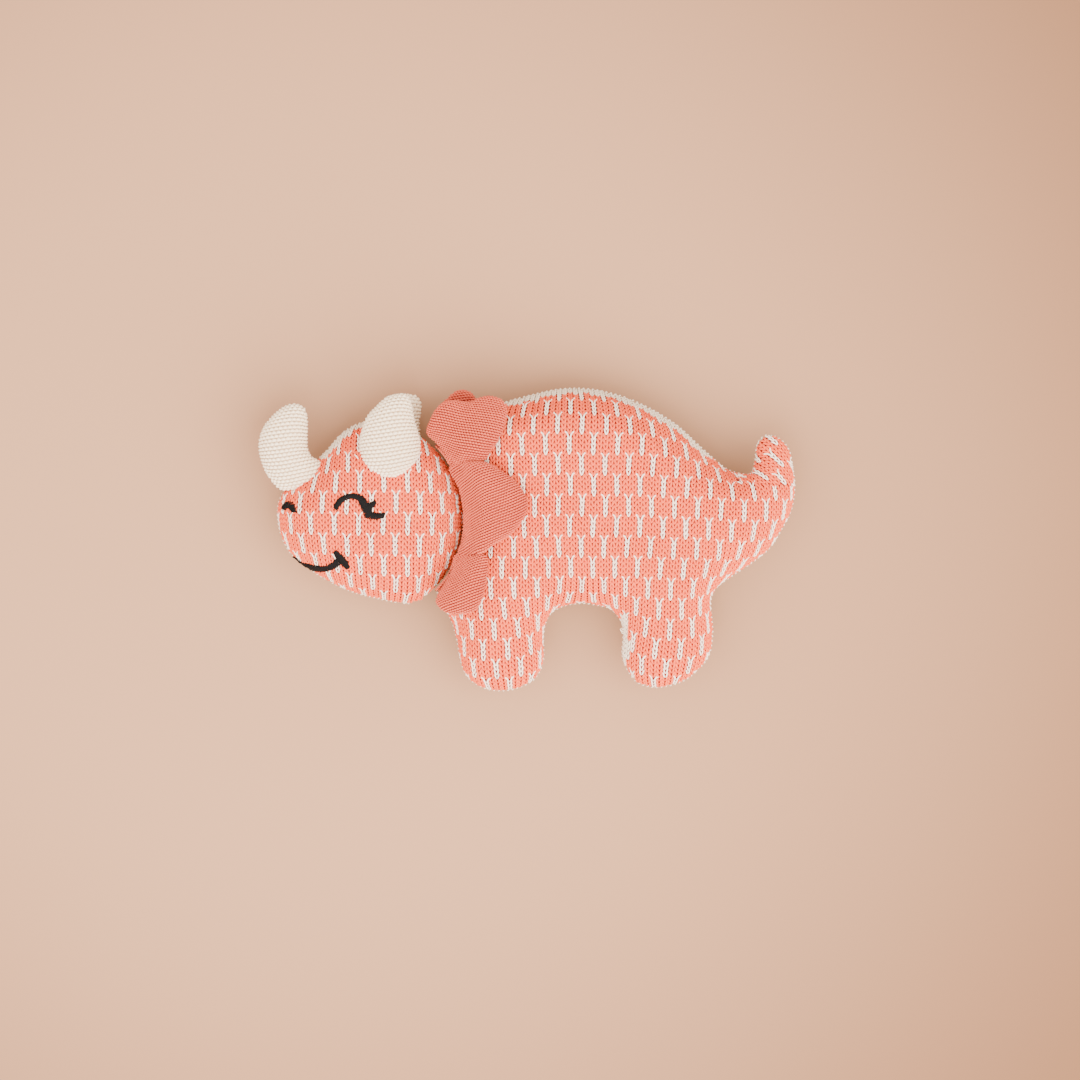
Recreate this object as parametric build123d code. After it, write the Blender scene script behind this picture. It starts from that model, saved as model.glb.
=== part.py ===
from build123d import *
import os
from math import asin, cos, degrees, radians, sin, sqrt

# A knitted stuffed dinosaur lying on its back panel. Millimetres, +Z up through its thickness, -X towards the nose,
# +Y towards the top of its back. The origin is under the middle of its outline, on the surface that it rests on.

# ---- fabric, gaps and thicknesses ----
CLOTH = 2.0                # knitted panel
RUNNING_GAP = 0.3          # between bodies that turn against each other
TORSO_THICK = 58.0
HEAD_THICK = 56.0
LEG_THICK = 46.0
TAIL_THICK = 40.0
TORSO_ROUND = 24.0         # how far the edge of a stuffed section rolls round
HEAD_ROUND = 22.0
LEG_ROUND = 19.0
TAIL_ROUND = 15.0
SEAM_Z = TORSO_THICK / 2   # where front and back panels are sewn together
THREAD = 0.8               # how far the embroidery stands up

# ---- torso: discs (x, y, radius) whose hull is its outline ----
SHOULDER = (1.0, 21.0, 57.0)
BACK = (25.0, 26.3, 58.7)
RUMP = (63.0, 23.5, 48.0)
HIP = (77.0, 2.2, 34.6)
TORSO_DISCS = [SHOULDER, BACK, RUMP, HIP]

# ---- head: it turns on the middle of its round rear edge ----
NECK = (-92.2, 11.7)
NECK_RADIUS = 56.2
SNOUT = (-112.5, 10.6, 27.2)
CRANIUM = (NECK[0] + NECK_RADIUS - 43.3, 19.0, 46.0)
JAW = (NECK[0] + NECK_RADIUS - 32.2, -0.6, 36.0)
HEAD_DISCS = [SNOUT, CRANIUM, JAW]

# ---- legs: a hip disc that the leg swings on, and a foot ----
FRONT_HIP = (-15.4, -44.0, 25.2)
FRONT_FOOT = (-15.2, -61.6, 23.4)
HIND_HIP = (78.6, -43.0, 25.2)
HIND_FOOT = (78.9, -59.4, 23.8)

# ---- tail: a root disc that it swings on, a bend, and an upturned round tip ----
TAIL_ROOT = (95.0, 12.5, 31.0)
TAIL_BEND = (127.5, 9.0, 20.0)
TAIL_KNUCKLE = (139.4, 29.0, 10.9)
TAIL_TIP = (137.4, 48.9, 9.3)
TAIL_LIP_TOP = 82.0        # degrees, from where the torso stands clear of the tail
TAIL_LIP_BOTTOM = -96.0

# ---- horns: base, middle and tip balls (x, y, radius), and the height of each horn's centre ----
NOSE_HORN = [(-132.2, 40.0, 14.2), (-136.6, 54.2, 13.4), (-129.8, 70.8, 5.7)]
NOSE_HORN_Z = HEAD_THICK / 2 + 3.0
NEAR_HORN = [(-76.2, 50.3, 16.6), (-76.6, 60.9, 14.4), (-70.0, 75.8, 5.3)]
NEAR_HORN_Z = HEAD_THICK / 2 + 19.4
FAR_HORN = [(-71.0, 50.0, 12.2), (-69.4, 62.0, 10.2), (-65.0, 75.2, 4.6)]
FAR_HORN_Z = HEAD_THICK / 2 - 15.4
HORN_SWING = 8.0           # degrees each way that a brow horn has room to bend

# ---- frill: a root band round the neck and four lobes in frames turned about the neck ----
BAND_THICK = 1.6
BAND_LOW = 4.0
BAND_FROM = -46.0          # degrees about the neck
BAND_TO = 46.0
LOBE_THICK = 6.0
LOBE_CLOTH = 1.4
LOBE_ROUND = 2.6
LOBE_Z = TORSO_THICK + 0.5 + LOBE_THICK / 2
TOP_LOBE_Z = SEAM_Z - 1.0
ROOT_GAP = 0.4
# name: (direction in degrees, height, discs as (outward, sideways, radius) from the root)
LOBES = {
    "top": (52.0, TOP_LOBE_Z, [(4.6, -6.0, 3.2), (4.6, 1.5, 3.2), (16.0, 0.0, 11.0)]),
    "upper": (34.0, LOBE_Z, [(3.2, -12.0, 3.2), (3.2, 11.0, 3.2), (25.0, 10.0, 8.6), (21.0, -3.0, 8.0)]),
    "middle": (3.0, LOBE_Z, [(3.2, -14.0, 3.2), (3.2, 12.0, 3.2), (19.0, 0.5, 14.0)]),
    "lower": (-33.0, LOBE_Z, [(3.2, -12.0, 3.2), (3.2, 12.0, 3.2), (11.0, 8.5, 7.2), (12.5, -6.0, 8.8)]),
}

# ---- embroidery: arches as (x, y, radius, from degrees, sweep, width) and straight strokes ----
NEAR_EYE = (-96.6, 13.6, 10.0, 25.0, 135.0, 3.0)
FAR_EYE = (-132.2, 16.6, 3.6, 20.0, 140.0, 2.1)
MOUTH = (-114.5, 5.5, 22.0, 228.0, 88.0, 3.0)
CHEEK_STROKE = ((-105.6, -8.0), (-99.6, -15.0), 3.6)
UPPER_LASH = ((-86.6, 18.4), (-84.0, 21.0), 2.2)
LOWER_LASH = ((-87.6, 12.8), (-79.4, 12.8), 2.6)

# ---- closing knot on the inside of the hind leg ----
KNOT_RADIUS = 1.3
KNOT_HEIGHT = 34.0


def grown(discs, by):
    """The same discs with larger or smaller radii."""
    return [(x, y, r + by) for x, y, r in discs]


def outline(discs):
    """The face inside the hull of some discs."""
    return make_hull([(Pos(x, y) * Circle(r)).edge() for x, y, r in discs])


def prism(face, low, high):
    """A face carried straight up from one height to another."""
    return Pos(0, 0, low) * extrude(face, high - low)


def puffed(discs, thick, rounding, middle):
    """A stuffed section: its outline given a thickness, with both rims rolled round."""
    slab = prism(outline(discs), -thick / 2, thick / 2)
    rims = slab.faces().sort_by(Axis.Z)[0].edges() + slab.faces().sort_by(Axis.Z)[-1].edges()
    return Pos(0, 0, middle) * fillet(rims, rounding)


def taper(start, end, height):
    """A round tapered piece from one ball (x, y, radius) to the next, lying level."""
    along = Vector(end[0] - start[0], end[1] - start[1], 0)
    length = along.length
    lean = asin((start[2] - end[2]) / length)
    low = CenterArc((0, 0), start[2], -90, 90 + degrees(lean))
    high = CenterArc((0, length), end[2], degrees(lean), 90 - degrees(lean))
    side = Line(low @ 1, high @ 0)
    spine = Line(high @ 1, low @ 0)
    shape = revolve(make_face([low, side, high, spine]), Axis.Y, 360)
    place = Plane(origin=(start[0], start[1], height), x_dir=along.cross(Vector(0, 0, 1)), z_dir=(0, 0, 1))
    return place.location * shape


def tapers(balls, height):
    """Tapered pieces joined ball to ball."""
    whole = taper(balls[0], balls[1], height)
    for start, end in zip(balls[1:], balls[2:]):
        whole += taper(start, end, height)
    return whole


def panels(outer, inner, seam):
    """The front panel, back panel and filling of a stuffed section."""
    far = 1000
    upper = Pos(0, 0, seam + far / 2) * Box(far, far, far)
    skin = outer - inner
    return skin & upper, skin - upper, inner


def carved(whole, room):
    """A section with every seat and pocket cut out of it, one after the other."""
    for cut in room:
        whole -= cut
    return whole


def seat(disc, gap=0.0):
    """The upright round seat in which a section turns."""
    x, y, r = disc
    return Pos(x, y, TORSO_THICK / 2) * Cylinder(r + gap, 3 * TORSO_THICK)


def sector(centre, first, last, reach, low, high):
    """An upright slice of pie."""
    x, y = centre
    rim = CenterArc((x, y), reach, first, last - first)
    face = make_face([Line((x, y), rim @ 0), rim, Line(rim @ 1, (x, y))])
    return prism(face, low, high)


def turned(discs, pivot, angle):
    """Discs swung about a point."""
    c, s = cos(radians(angle)), sin(radians(angle))
    px, py = pivot
    return [(px + (x - px) * c - (y - py) * s, py + (x - px) * s + (y - py) * c, r) for x, y, r in discs]


def save(name, shape):
    """One node's solids."""
    solids = shape.solids()
    export_step(Compound(solids) if len(solids) > 1 else solids[0], f"parts/{name}.step")


def save_section(name, front, back, filling):
    save(f"{name}_front_panel", front)
    save(f"{name}_back_panel", back)
    save(f"{name}_filling", filling)


# ---- torso ----
def torso():
    band_seat = seat((*NECK, NECK_RADIUS), RUNNING_GAP + BAND_THICK)
    clear = sector(TAIL_ROOT[:2], TAIL_LIP_BOTTOM, TAIL_LIP_TOP, 200, -TORSO_THICK, 2 * TORSO_THICK)
    room = [seat(disc, RUNNING_GAP) for disc in (FRONT_HIP, HIND_HIP, TAIL_ROOT)] + [band_seat, clear]
    outer = carved(puffed(TORSO_DISCS, TORSO_THICK, TORSO_ROUND, SEAM_Z), room)
    inner_discs = grown(TORSO_DISCS, -CLOTH)
    inner = carved(puffed(inner_discs, TORSO_THICK - 2 * CLOTH, TORSO_ROUND - CLOTH, SEAM_Z), room)
    save_section("torso", *panels(outer, inner, SEAM_Z))


# ---- legs ----
def leg(name, hip, foot):
    outer = puffed([hip, foot], LEG_THICK, LEG_ROUND, SEAM_Z)
    inner = puffed(grown([hip, foot], -CLOTH), LEG_THICK - 2 * CLOTH, LEG_ROUND - CLOTH, SEAM_Z)
    save_section(name, *panels(outer, inner, SEAM_Z))


def closing_knot():
    """A small thread knot on the hind leg's inner side, just above its seam."""
    x, y, r = HIND_HIP
    down = (HIND_FOOT[1] - y) / 2
    side = x - r + (HIND_FOOT[0] - x + r - HIND_FOOT[2]) / 2
    lift = KNOT_HEIGHT - SEAM_Z
    straight = LEG_THICK / 2 - LEG_ROUND
    inset = LEG_ROUND - sqrt(LEG_ROUND**2 - max(lift - straight, 0) ** 2)
    save("closing_knot", Pos(side + inset - KNOT_RADIUS - 0.1, y + down, KNOT_HEIGHT) * Sphere(KNOT_RADIUS))


# ---- tail ----
def tail():
    def shape(by):
        root = puffed(grown([TAIL_ROOT, TAIL_BEND], -by), TAIL_THICK - 2 * by, TAIL_ROUND - by, SEAM_Z)
        start = (TAIL_BEND[0], TAIL_BEND[1], 17.0 - by)
        return root + tapers([start] + grown([TAIL_KNUCKLE, TAIL_TIP], -by), SEAM_Z)

    save_section("tail", *panels(shape(0), shape(CLOTH), SEAM_Z))


# ---- head ----
def head_room():
    """What the head leaves free: the two brow horns' pockets and the nose horn's seat."""
    swings = (-HORN_SWING, 0, HORN_SWING)
    room = []
    for horn, low, high in (
        (NEAR_HORN, NEAR_HORN_Z - NEAR_HORN[0][2] - RUNNING_GAP, 2 * HEAD_THICK),
        (FAR_HORN, -HEAD_THICK, FAR_HORN_Z + FAR_HORN[0][2] + RUNNING_GAP),
    ):
        reach = [disc for angle in swings for disc in turned(horn, horn[0][:2], angle)]
        room.append(prism(outline(grown(reach[:3] + reach[4:6] + reach[7:], RUNNING_GAP)), low, high))
    x, y, r = NOSE_HORN[0]
    room.append(Pos(x, y, NOSE_HORN_Z) * Sphere(r + RUNNING_GAP))
    return room


def head():
    turn = seat((*NECK, NECK_RADIUS))
    room = head_room()
    middle = HEAD_THICK / 2
    whole = puffed(HEAD_DISCS, HEAD_THICK, HEAD_ROUND, middle) & turn
    outer = carved(whole, room)
    inner_discs = grown(HEAD_DISCS, -CLOTH)
    inner = carved(puffed(inner_discs, HEAD_THICK - 2 * CLOTH, HEAD_ROUND - CLOTH, middle) & turn, room)
    save_section("head", *panels(outer, inner, middle))
    thread = puffed(grown(HEAD_DISCS, THREAD), HEAD_THICK + 2 * THREAD, HEAD_ROUND + THREAD, middle) - whole
    over = [middle, 2 * HEAD_THICK]
    save("near_eye", thread & prism(arch(*NEAR_EYE), *over))
    save("far_eye", thread & prism(arch(*FAR_EYE), *over))
    save("mouth", thread & (prism(arch(*MOUTH), *over) + prism(stroke(*CHEEK_STROKE), *over)))
    lashes = prism(stroke(*UPPER_LASH), *over) + prism(stroke(*LOWER_LASH), *over)
    save("near_eye_lashes", (thread & lashes) - prism(arch(*NEAR_EYE), *over))


def arch(x, y, radius, start, sweep, width):
    """A curved band of thread, as a flat face."""
    outer = CenterArc((x, y), radius + width / 2, start, sweep)
    inner = CenterArc((x, y), radius - width / 2, start, sweep)
    return make_face([outer, Line(outer @ 1, inner @ 1), inner, Line(inner @ 0, outer @ 0)])


def stroke(start, end, width):
    """A straight band of thread with round ends, as a flat face."""
    return outline([(*start, width / 2), (*end, width / 2)])


# ---- horns ----
def horn(name, balls, height):
    outer = tapers(balls, height)
    inner = tapers(grown(balls, -CLOTH), height)
    front, back, filling = panels(outer, inner, height)
    save(f"{name}_front_cover", front)
    save(f"{name}_back_cover", back)
    save(f"{name}_filling", filling)


# ---- frill ----
def frill_band():
    near = NECK_RADIUS + RUNNING_GAP
    high = LOBE_Z + LOBE_THICK / 2
    ring = sector(NECK, BAND_FROM, BAND_TO, near + BAND_THICK, BAND_LOW, high)
    save("frill_band", ring - seat((*NECK, near)))


def frill_lobe(name, direction, height, discs):
    root = NECK_RADIUS + RUNNING_GAP + BAND_THICK + ROOT_GAP
    c, s = cos(radians(direction)), sin(radians(direction))
    placed = [
        (NECK[0] + (root + out) * c - side * s, NECK[1] + (root + out) * s + side * c, r)
        for out, side, r in discs
    ]
    outer = puffed(placed, LOBE_THICK, LOBE_ROUND, height)
    inner = puffed(grown(placed, -LOBE_CLOTH), LOBE_THICK - 2 * LOBE_CLOTH, LOBE_ROUND - LOBE_CLOTH, height)
    front, back, filling = panels(outer, inner, height)
    save(f"frill_{name}_front", front)
    save(f"frill_{name}_back", back)
    save(f"frill_{name}_wadding", filling)


os.makedirs("parts", exist_ok=True)
torso()
leg("front_leg", FRONT_HIP, FRONT_FOOT)
leg("hind_leg", HIND_HIP, HIND_FOOT)
closing_knot()
tail()
head()
horn("nose_horn", NOSE_HORN, NOSE_HORN_Z)
horn("near_brow_horn", NEAR_HORN, NEAR_HORN_Z)
horn("far_brow_horn", FAR_HORN, FAR_HORN_Z)
frill_band()
for lobe_name, (lobe_direction, lobe_height, lobe_discs) in LOBES.items():
    frill_lobe(lobe_name, lobe_direction, lobe_height, lobe_discs)
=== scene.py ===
# %% [markdown]
# # A knitted dinosaur
# This lesson builds a stuffed, knitted dinosaur. The frame holds its sections, joints and sizes; Blender
# adds the soft shapes, the stitches and the yarn. Everything is in metres, in the frame's own axes.

# %% Load the frame
import math
import bpy
import numpy as np
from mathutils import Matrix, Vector
from mathutils.geometry import delaunay_2d_cdt


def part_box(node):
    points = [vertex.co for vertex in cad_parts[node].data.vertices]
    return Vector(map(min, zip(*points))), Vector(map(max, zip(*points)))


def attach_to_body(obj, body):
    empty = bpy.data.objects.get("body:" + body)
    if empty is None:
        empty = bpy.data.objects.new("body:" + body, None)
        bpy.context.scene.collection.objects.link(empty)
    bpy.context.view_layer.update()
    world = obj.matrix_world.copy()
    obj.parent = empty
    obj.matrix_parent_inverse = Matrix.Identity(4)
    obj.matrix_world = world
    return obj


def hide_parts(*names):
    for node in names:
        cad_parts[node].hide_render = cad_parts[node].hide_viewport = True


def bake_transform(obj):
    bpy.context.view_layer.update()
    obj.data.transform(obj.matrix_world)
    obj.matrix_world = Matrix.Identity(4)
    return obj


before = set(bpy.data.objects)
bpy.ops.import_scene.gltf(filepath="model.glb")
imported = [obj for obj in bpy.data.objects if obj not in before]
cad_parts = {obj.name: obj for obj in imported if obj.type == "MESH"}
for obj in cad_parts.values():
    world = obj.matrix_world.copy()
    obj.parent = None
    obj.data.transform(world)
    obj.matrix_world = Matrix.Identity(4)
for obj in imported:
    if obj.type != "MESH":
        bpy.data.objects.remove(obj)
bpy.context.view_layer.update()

MM = 0.001

# %% [markdown]
# ## Outlines
# A soft toy starts as a paper pattern, so each section starts as a closed outline in millimetres, with only
# the points that its shape needs. A curve through them is smoother and shorter to write than many corners.

# %% Outlines of the sections
BODY = [(-57, 22), (-53, 44), (-40, 62), (-22, 73), (-11, 77), (4, 81), (19, 84), (35, 84), (51.5, 80.5), (63, 76),
        (74.5, 70), (85.5, 62.5), (99.5, 49.5), (111.5, 39.5), (120, 36.5), (126, 37), (128, 44), (129, 52.5),
        (132, 57), (136.5, 58.2), (142.5, 55.5), (147, 49.5), (149, 39.5), (150, 29), (148, 16), (143, 6), (136, -5),
        (125, -14), (115, -20.5), (106, -27.5), (103, -34.5), (103.5, -44), (104, -53.5), (102, -65), (96.5, -72.5),
        (87.5, -79.5), (74.5, -83), (63, -81), (56.5, -73.5), (53.5, -65), (54, -55), (53, -46.5), (47.5, -39.5),
        (39, -37), (30, -36), (20.5, -37.5), (13.5, -41.5), (10, -48), (9, -56.5), (9, -68.5), (4.5, -78),
        (-4, -83), (-13.5, -85), (-24, -83.5), (-33, -77.5), (-37, -68.5), (-39, -57.5), (-42, -46.5),
        (-48.5, -34), (-55.5, -11.5)]
# The head's rear edge is the arc that it nods along.
HEAD = [(-139.5, 19), (-139.5, 9.5), (-137, 0), (-132, -8.5), (-123.5, -15.5), (-113, -22.5), (-99.5, -29),
        (-85, -33), (-68.5, -36), (-57, -38.5), (-49, -36), (-43, -21), (-38.5, -9.5), (-36.5, 3), (-36.7, 14),
        (-39.5, 28.5), (-43.5, 42.5), (-49, 52), (-57, 60), (-71, 65), (-85, 66.5), (-96, 64), (-104.5, 58.5),
        (-111, 51), (-118.5, 43.5), (-128, 34.5), (-136, 27)]


def smooth_loop(points, step):
    """A closed curve through some points, anticlockwise, resampled evenly."""
    p = np.array(points, float)
    fine = []
    for i in range(len(p)):
        a, b, c, d = p[i - 1], p[i], p[(i + 1) % len(p)], p[(i + 2) % len(p)]
        t = np.linspace(0, 1, 12, endpoint=False)[:, None]
        bend = (2 * a - 5 * b + 4 * c - d) * t**2 + (3 * b - a - 3 * c + d) * t**3
        fine.append(0.5 * (2 * b + (c - a) * t + bend))
    fine = np.concatenate(fine)
    x, y = fine.T
    if np.sum(x * np.roll(y, -1) - y * np.roll(x, -1)) < 0:
        fine = fine[::-1]
    closed = np.vstack([fine, fine[:1]])
    run = np.concatenate([[0], np.cumsum(np.linalg.norm(np.diff(closed, axis=0), axis=1))])
    at = np.arange(int(run[-1] / step)) / int(run[-1] / step) * run[-1]
    return np.stack([np.interp(at, run, closed[:, k]) for k in (0, 1)], 1)


print("body outline:", len(smooth_loop(BODY, 2.5)), "points")

# %% [markdown]
# ## A net of triangles
# The net that becomes the cloth is dense at the rim, where the section rolls round to its seam, and even
# inside. A constrained Delaunay net follows any outline, which a plain grid can't.

# %% Net an outline
RIM_RINGS = (0.12, 0.5, 1.2, 2.2, 3.6)


def distance_to(loop, points):
    """How far each point lies from a closed line."""
    a, b = loop, np.roll(loop, -1, 0)
    best = np.full(len(points), np.inf)
    for p, q in zip(a, b):
        d = q - p
        t = np.clip((points - p) @ d / (d @ d), 0, 1)
        best = np.minimum(best, np.linalg.norm(points - p - t[:, None] * d, axis=1))
    return best


def inside(loop, points):
    """Which points a closed line holds."""
    a, b = loop, np.roll(loop, -1, 0)
    odd = np.zeros(len(points), bool)
    x, y = points.T
    for (ax, ay), (bx, by) in zip(a, b):
        crosses = (ay > y) != (by > y)
        odd ^= crosses & (x < (bx - ax) * (y - ay) / (by - ay + 1e-12) + ax)
    return odd


def net(loop, pitch):
    """Points, triangles and a mark on the rim's points."""
    along = np.roll(loop, -1, 0) - np.roll(loop, 1, 0)
    inward = np.stack([-along[:, 1], along[:, 0]], 1) / np.linalg.norm(along, axis=1)[:, None]
    rings = []
    for depth in RIM_RINGS:
        ring = loop + inward * depth
        rings.append(ring[distance_to(loop, ring) > 0.93 * depth])
    low, high = loop.min(0), loop.max(0)
    rows = np.arange(low[1], high[1], pitch * 0.866)
    cols = np.arange(low[0], high[0], pitch)
    grid = np.array([(x + (k % 2) * pitch / 2, y) for k, y in enumerate(rows) for x in cols])
    grid = grid[inside(loop, grid)]
    grid = grid[distance_to(loop, grid) > RIM_RINGS[-1] + 0.55 * pitch]
    points = np.vstack([loop] + rings + [grid])
    ring = [(i, (i + 1) % len(loop)) for i in range(len(loop))]
    made = delaunay_2d_cdt([Vector(p) for p in points], ring, [list(range(len(loop)))], 1, 1e-7)
    spots = np.array([tuple(v) for v in made[0]])
    rim = np.array([any(i < len(loop) for i in source) for source in made[3]])
    faces = np.array([f for f in made[2] if len(f) == 3])
    a, b, c = (spots[faces[:, k]] for k in range(3))
    turn = (b[:, 0] - a[:, 0]) * (c[:, 1] - a[:, 1]) - (b[:, 1] - a[:, 1]) * (c[:, 0] - a[:, 0])
    faces[turn < 0] = faces[turn < 0][:, ::-1]
    return spots, faces[np.abs(turn) > 1e-9], rim


# %% [markdown]
# ## Height from an inflated membrane
# A soap film over the outline is high where the outline is wide and low where it is narrow, as stuffing is.
# Its square root gives round sides, and a soft limit keeps the belly from growing thicker than it is sewn.

# %% Solvers on the net
def edge_weights(points, faces):
    """Each triangle's edges with their cotangent weights."""
    starts, ends, weights = [], [], []
    for k in range(3):
        i, j, o = faces[:, k], faces[:, (k + 1) % 3], faces[:, (k + 2) % 3]
        u, v = points[i] - points[o], points[j] - points[o]
        area = np.sqrt(np.maximum((u * u).sum(1) * (v * v).sum(1) - (u * v).sum(1) ** 2, 1e-18))
        starts.append(i)
        ends.append(j)
        weights.append(np.maximum(0.5 * (u * v).sum(1) / area, 0.02))
    return np.concatenate(starts), np.concatenate(ends), np.concatenate(weights)


def gather(index, values, count):
    """Sums rows of values into the points that they belong to."""
    return np.stack([np.bincount(index, values[:, k], count) for k in range(values.shape[1])], 1)


def solve(edges, right, start, free, rounds):
    """Conjugate gradients for the net's Laplace matrix."""
    i, j, w = edges
    n = len(start)
    diagonal = (np.bincount(i, w, n) + np.bincount(j, w, n))[:, None]
    free = free[:, None]

    def matrix(x):
        pull = w[:, None] * (x[i] - x[j])
        return gather(i, pull, n) - gather(j, pull, n)

    x = start.copy()
    r = (right - matrix(x)) * free
    z = r / diagonal
    p = z.copy()
    rz = (r * z).sum(0)
    for _ in range(rounds):
        ap = matrix(p) * free
        step = rz / np.maximum((p * ap).sum(0), 1e-20)
        x += step * p
        r -= step * ap
        z = r / diagonal
        new = (r * z).sum(0)
        p = z + new / np.maximum(rz, 1e-20) * p
        rz = new
    return x


def puff(points, faces, rim, fullness, limit):
    """Height of the upper half over each point of a net."""
    flat = np.column_stack([points, np.zeros(len(points))])
    a, b, c = (points[faces[:, k]] for k in range(3))
    area = 0.5 * np.abs((b - a)[:, 0] * (c - a)[:, 1] - (b - a)[:, 1] * (c - a)[:, 0])
    load = np.bincount(faces.ravel(), np.repeat(area / 3, 3), len(points))[:, None]
    film = solve(edge_weights(flat, faces), load, np.zeros((len(points), 1)), ~rim, 500)[:, 0]
    wide = np.sqrt(np.maximum(2 * film, 0))
    return fullness * wide / (1 + (fullness * wide / limit) ** 3.0) ** (1 / 3.0)


# %% [markdown]
# ## Unrolling the cloth
# Stitches are all one size on the real cloth, so the curved upper half is unrolled flat with as little
# stretch as possible. Each triangle is turned as it likes best, then all are fitted together, a few times over.

# %% Unroll a curved net
def unroll(points, faces, start):
    """Flat cloth coordinates of a curved net: local turns, then one global fit, repeated."""
    i, j, w = edge_weights(points, faces)
    n = len(points)
    a, b, c = (points[faces[:, k]] for k in range(3))
    base = np.linalg.norm(b - a, axis=1)
    x2 = ((c - a) * (b - a)).sum(1) / base
    y2 = np.sqrt(np.maximum(((c - a) ** 2).sum(1) - x2**2, 0))
    zero = np.zeros(len(faces))
    local = [np.stack([zero, zero], 1), np.stack([base, zero], 1), np.stack([x2, y2], 1)]
    own = np.concatenate([local[k] - local[(k + 1) % 3] for k in range(3)])
    tri = np.tile(np.arange(len(faces)), 3)
    flat = start.copy()
    for _ in range(8):
        now = flat[i] - flat[j]
        cc = np.bincount(tri, w * (now * own).sum(1))
        ss = np.bincount(tri, w * (now[:, 1] * own[:, 0] - now[:, 0] * own[:, 1]))
        size = np.hypot(cc, ss) + 1e-12
        cos, sin = (cc / size)[tri], (ss / size)[tri]
        want = np.stack([cos * own[:, 0] - sin * own[:, 1], sin * own[:, 0] + cos * own[:, 1]], 1)
        right = gather(i, w[:, None] * want, n) - gather(j, w[:, None] * want, n)
        flat = solve((i, j, w), right, flat, np.ones(n, bool), 80)
    return flat - (flat - start).mean(0)


# %% [markdown]
# ## Cloth under pressure
# A short cloth simulation with air pressure lets the skin settle over its stuffing. The seam is pinned, and a cap
# on each point's movement keeps the toy its real size. On the body the cloth would go past that cap, so the cap
# sets much of the puff there; on the little horns the cloth hardly moves. The numbers were found by trial:
# the first ones moved nothing, so the function prints how far the cloth went before the cap.

# %% Settle a closed skin
SIM_SCALE = 0.01  # metres for a millimetre: the simulation runs ten times life size


def settle(points, faces, pinned, pressure, cap):
    """Runs Blender's cloth on a closed mesh and returns the settled points, all in millimetres."""
    mesh = bpy.data.meshes.new("settling")
    mesh.from_pydata((points * SIM_SCALE).tolist(), [], faces.tolist())
    skin = bpy.data.objects.new("settling", mesh)
    bpy.context.scene.collection.objects.link(skin)
    held = skin.vertex_groups.new(name="seam")
    held.add([int(v) for v in np.flatnonzero(pinned)], 1.0, "REPLACE")
    cloth = skin.modifiers.new("cloth", "CLOTH")
    s = cloth.settings
    s.quality, s.mass = 5, 0.05
    s.tension_stiffness = s.compression_stiffness = 15
    s.shear_stiffness, s.bending_stiffness = 5, 0.5
    s.use_pressure, s.uniform_pressure_force = True, pressure
    s.vertex_group_mass = "seam"
    s.effector_weights.gravity = 0
    cloth.point_cache.frame_start, cloth.point_cache.frame_end = 1, 18
    scene = bpy.context.scene
    for at in range(1, 19):
        scene.frame_set(at)
    shown = skin.evaluated_get(bpy.context.evaluated_depsgraph_get())
    done = np.empty(len(points) * 3)
    shown.data.vertices.foreach_get("co", done)
    done = done.reshape(-1, 3) / SIM_SCALE
    scene.frame_set(1)
    bpy.data.objects.remove(skin)
    bpy.data.meshes.remove(mesh)
    move = done - points
    far = np.linalg.norm(move, axis=1)
    move *= np.minimum(1, cap / np.maximum(far, 1e-9))[:, None]
    print("settled: farthest move", round(float(far.max()), 1), "mm, mean", round(float(far.mean()), 2), "mm")
    return points + move


# %% [markdown]
# ## A stuffed section
# Front and back are cut alike and sewn along one seam, so both halves share the rim's points. Each half keeps
# its own flat cloth coordinates, where the stitches are laid out later.

# %% Make a stuffed section
def point_normals(points, faces):
    """Smooth outward normals of a closed net."""
    a, b, c = (points[faces[:, k]] for k in range(3))
    flat = np.cross(b - a, c - a)
    total = gather(faces.T.ravel(), np.tile(flat, (3, 1)), len(points))
    return total / np.maximum(np.linalg.norm(total, axis=1), 1e-9)[:, None]


def soften(values, faces, rounds):
    """Averages a value with its neighbours' over a net, a few times."""
    i, j = faces.ravel(), np.roll(faces, -1, 1).ravel()
    count = np.bincount(i, minlength=len(values)) + np.bincount(j, minlength=len(values))
    for _ in range(rounds):
        total = np.bincount(i, values[j], len(values)) + np.bincount(j, values[i], len(values))
        values = 0.4 * values + 0.6 * total / np.maximum(count, 1)
    return values


def section(outline, middle, fullness, limit, pitch, pressure, cap, shape=None, inset=0.9):
    """A closed stuffed skin, with the front's and the back's own points, nets and cloth coordinates."""
    loop = smooth_loop(outline, pitch * 0.72)
    along = np.roll(loop, -1, 0) - np.roll(loop, 1, 0)
    inward = np.stack([-along[:, 1], along[:, 0]], 1) / np.linalg.norm(along, axis=1)[:, None]
    points, faces, rim = net(loop + inward * inset, pitch)
    rise = puff(points, faces, rim, fullness, limit)
    n = len(points)
    twin = np.arange(n)
    twin[~rim] = n + np.arange((~rim).sum())
    skin = np.vstack([np.column_stack([points, middle + rise]),
                      np.column_stack([points, middle - rise])[~rim]])
    closed = np.vstack([faces, twin[faces][:, ::-1]])
    skin = settle(skin, closed, np.concatenate([rim, np.zeros((~rim).sum(), bool)]), pressure, cap)
    if shape:
        skin[:, 2] += soften(shape(skin)[:, 2] - skin[:, 2], closed, 8)
    normals = point_normals(skin, closed)
    made = {"skin": skin, "closed": closed, "faces": faces, "rim": rim, "loop": points[rim]}
    for side, pick in (("front", np.arange(n)), ("back", twin)):
        cloth = unroll(skin[pick], faces, points)
        made[side] = chart(cloth, skin[pick], normals[pick], faces)
        made[side + "_plan"] = chart(skin[pick][:, :2], skin[pick], normals[pick], faces)
    print("section:", n, "points, height", round(float(np.ptp(skin[:, 2])), 1), "mm")
    return made


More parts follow.
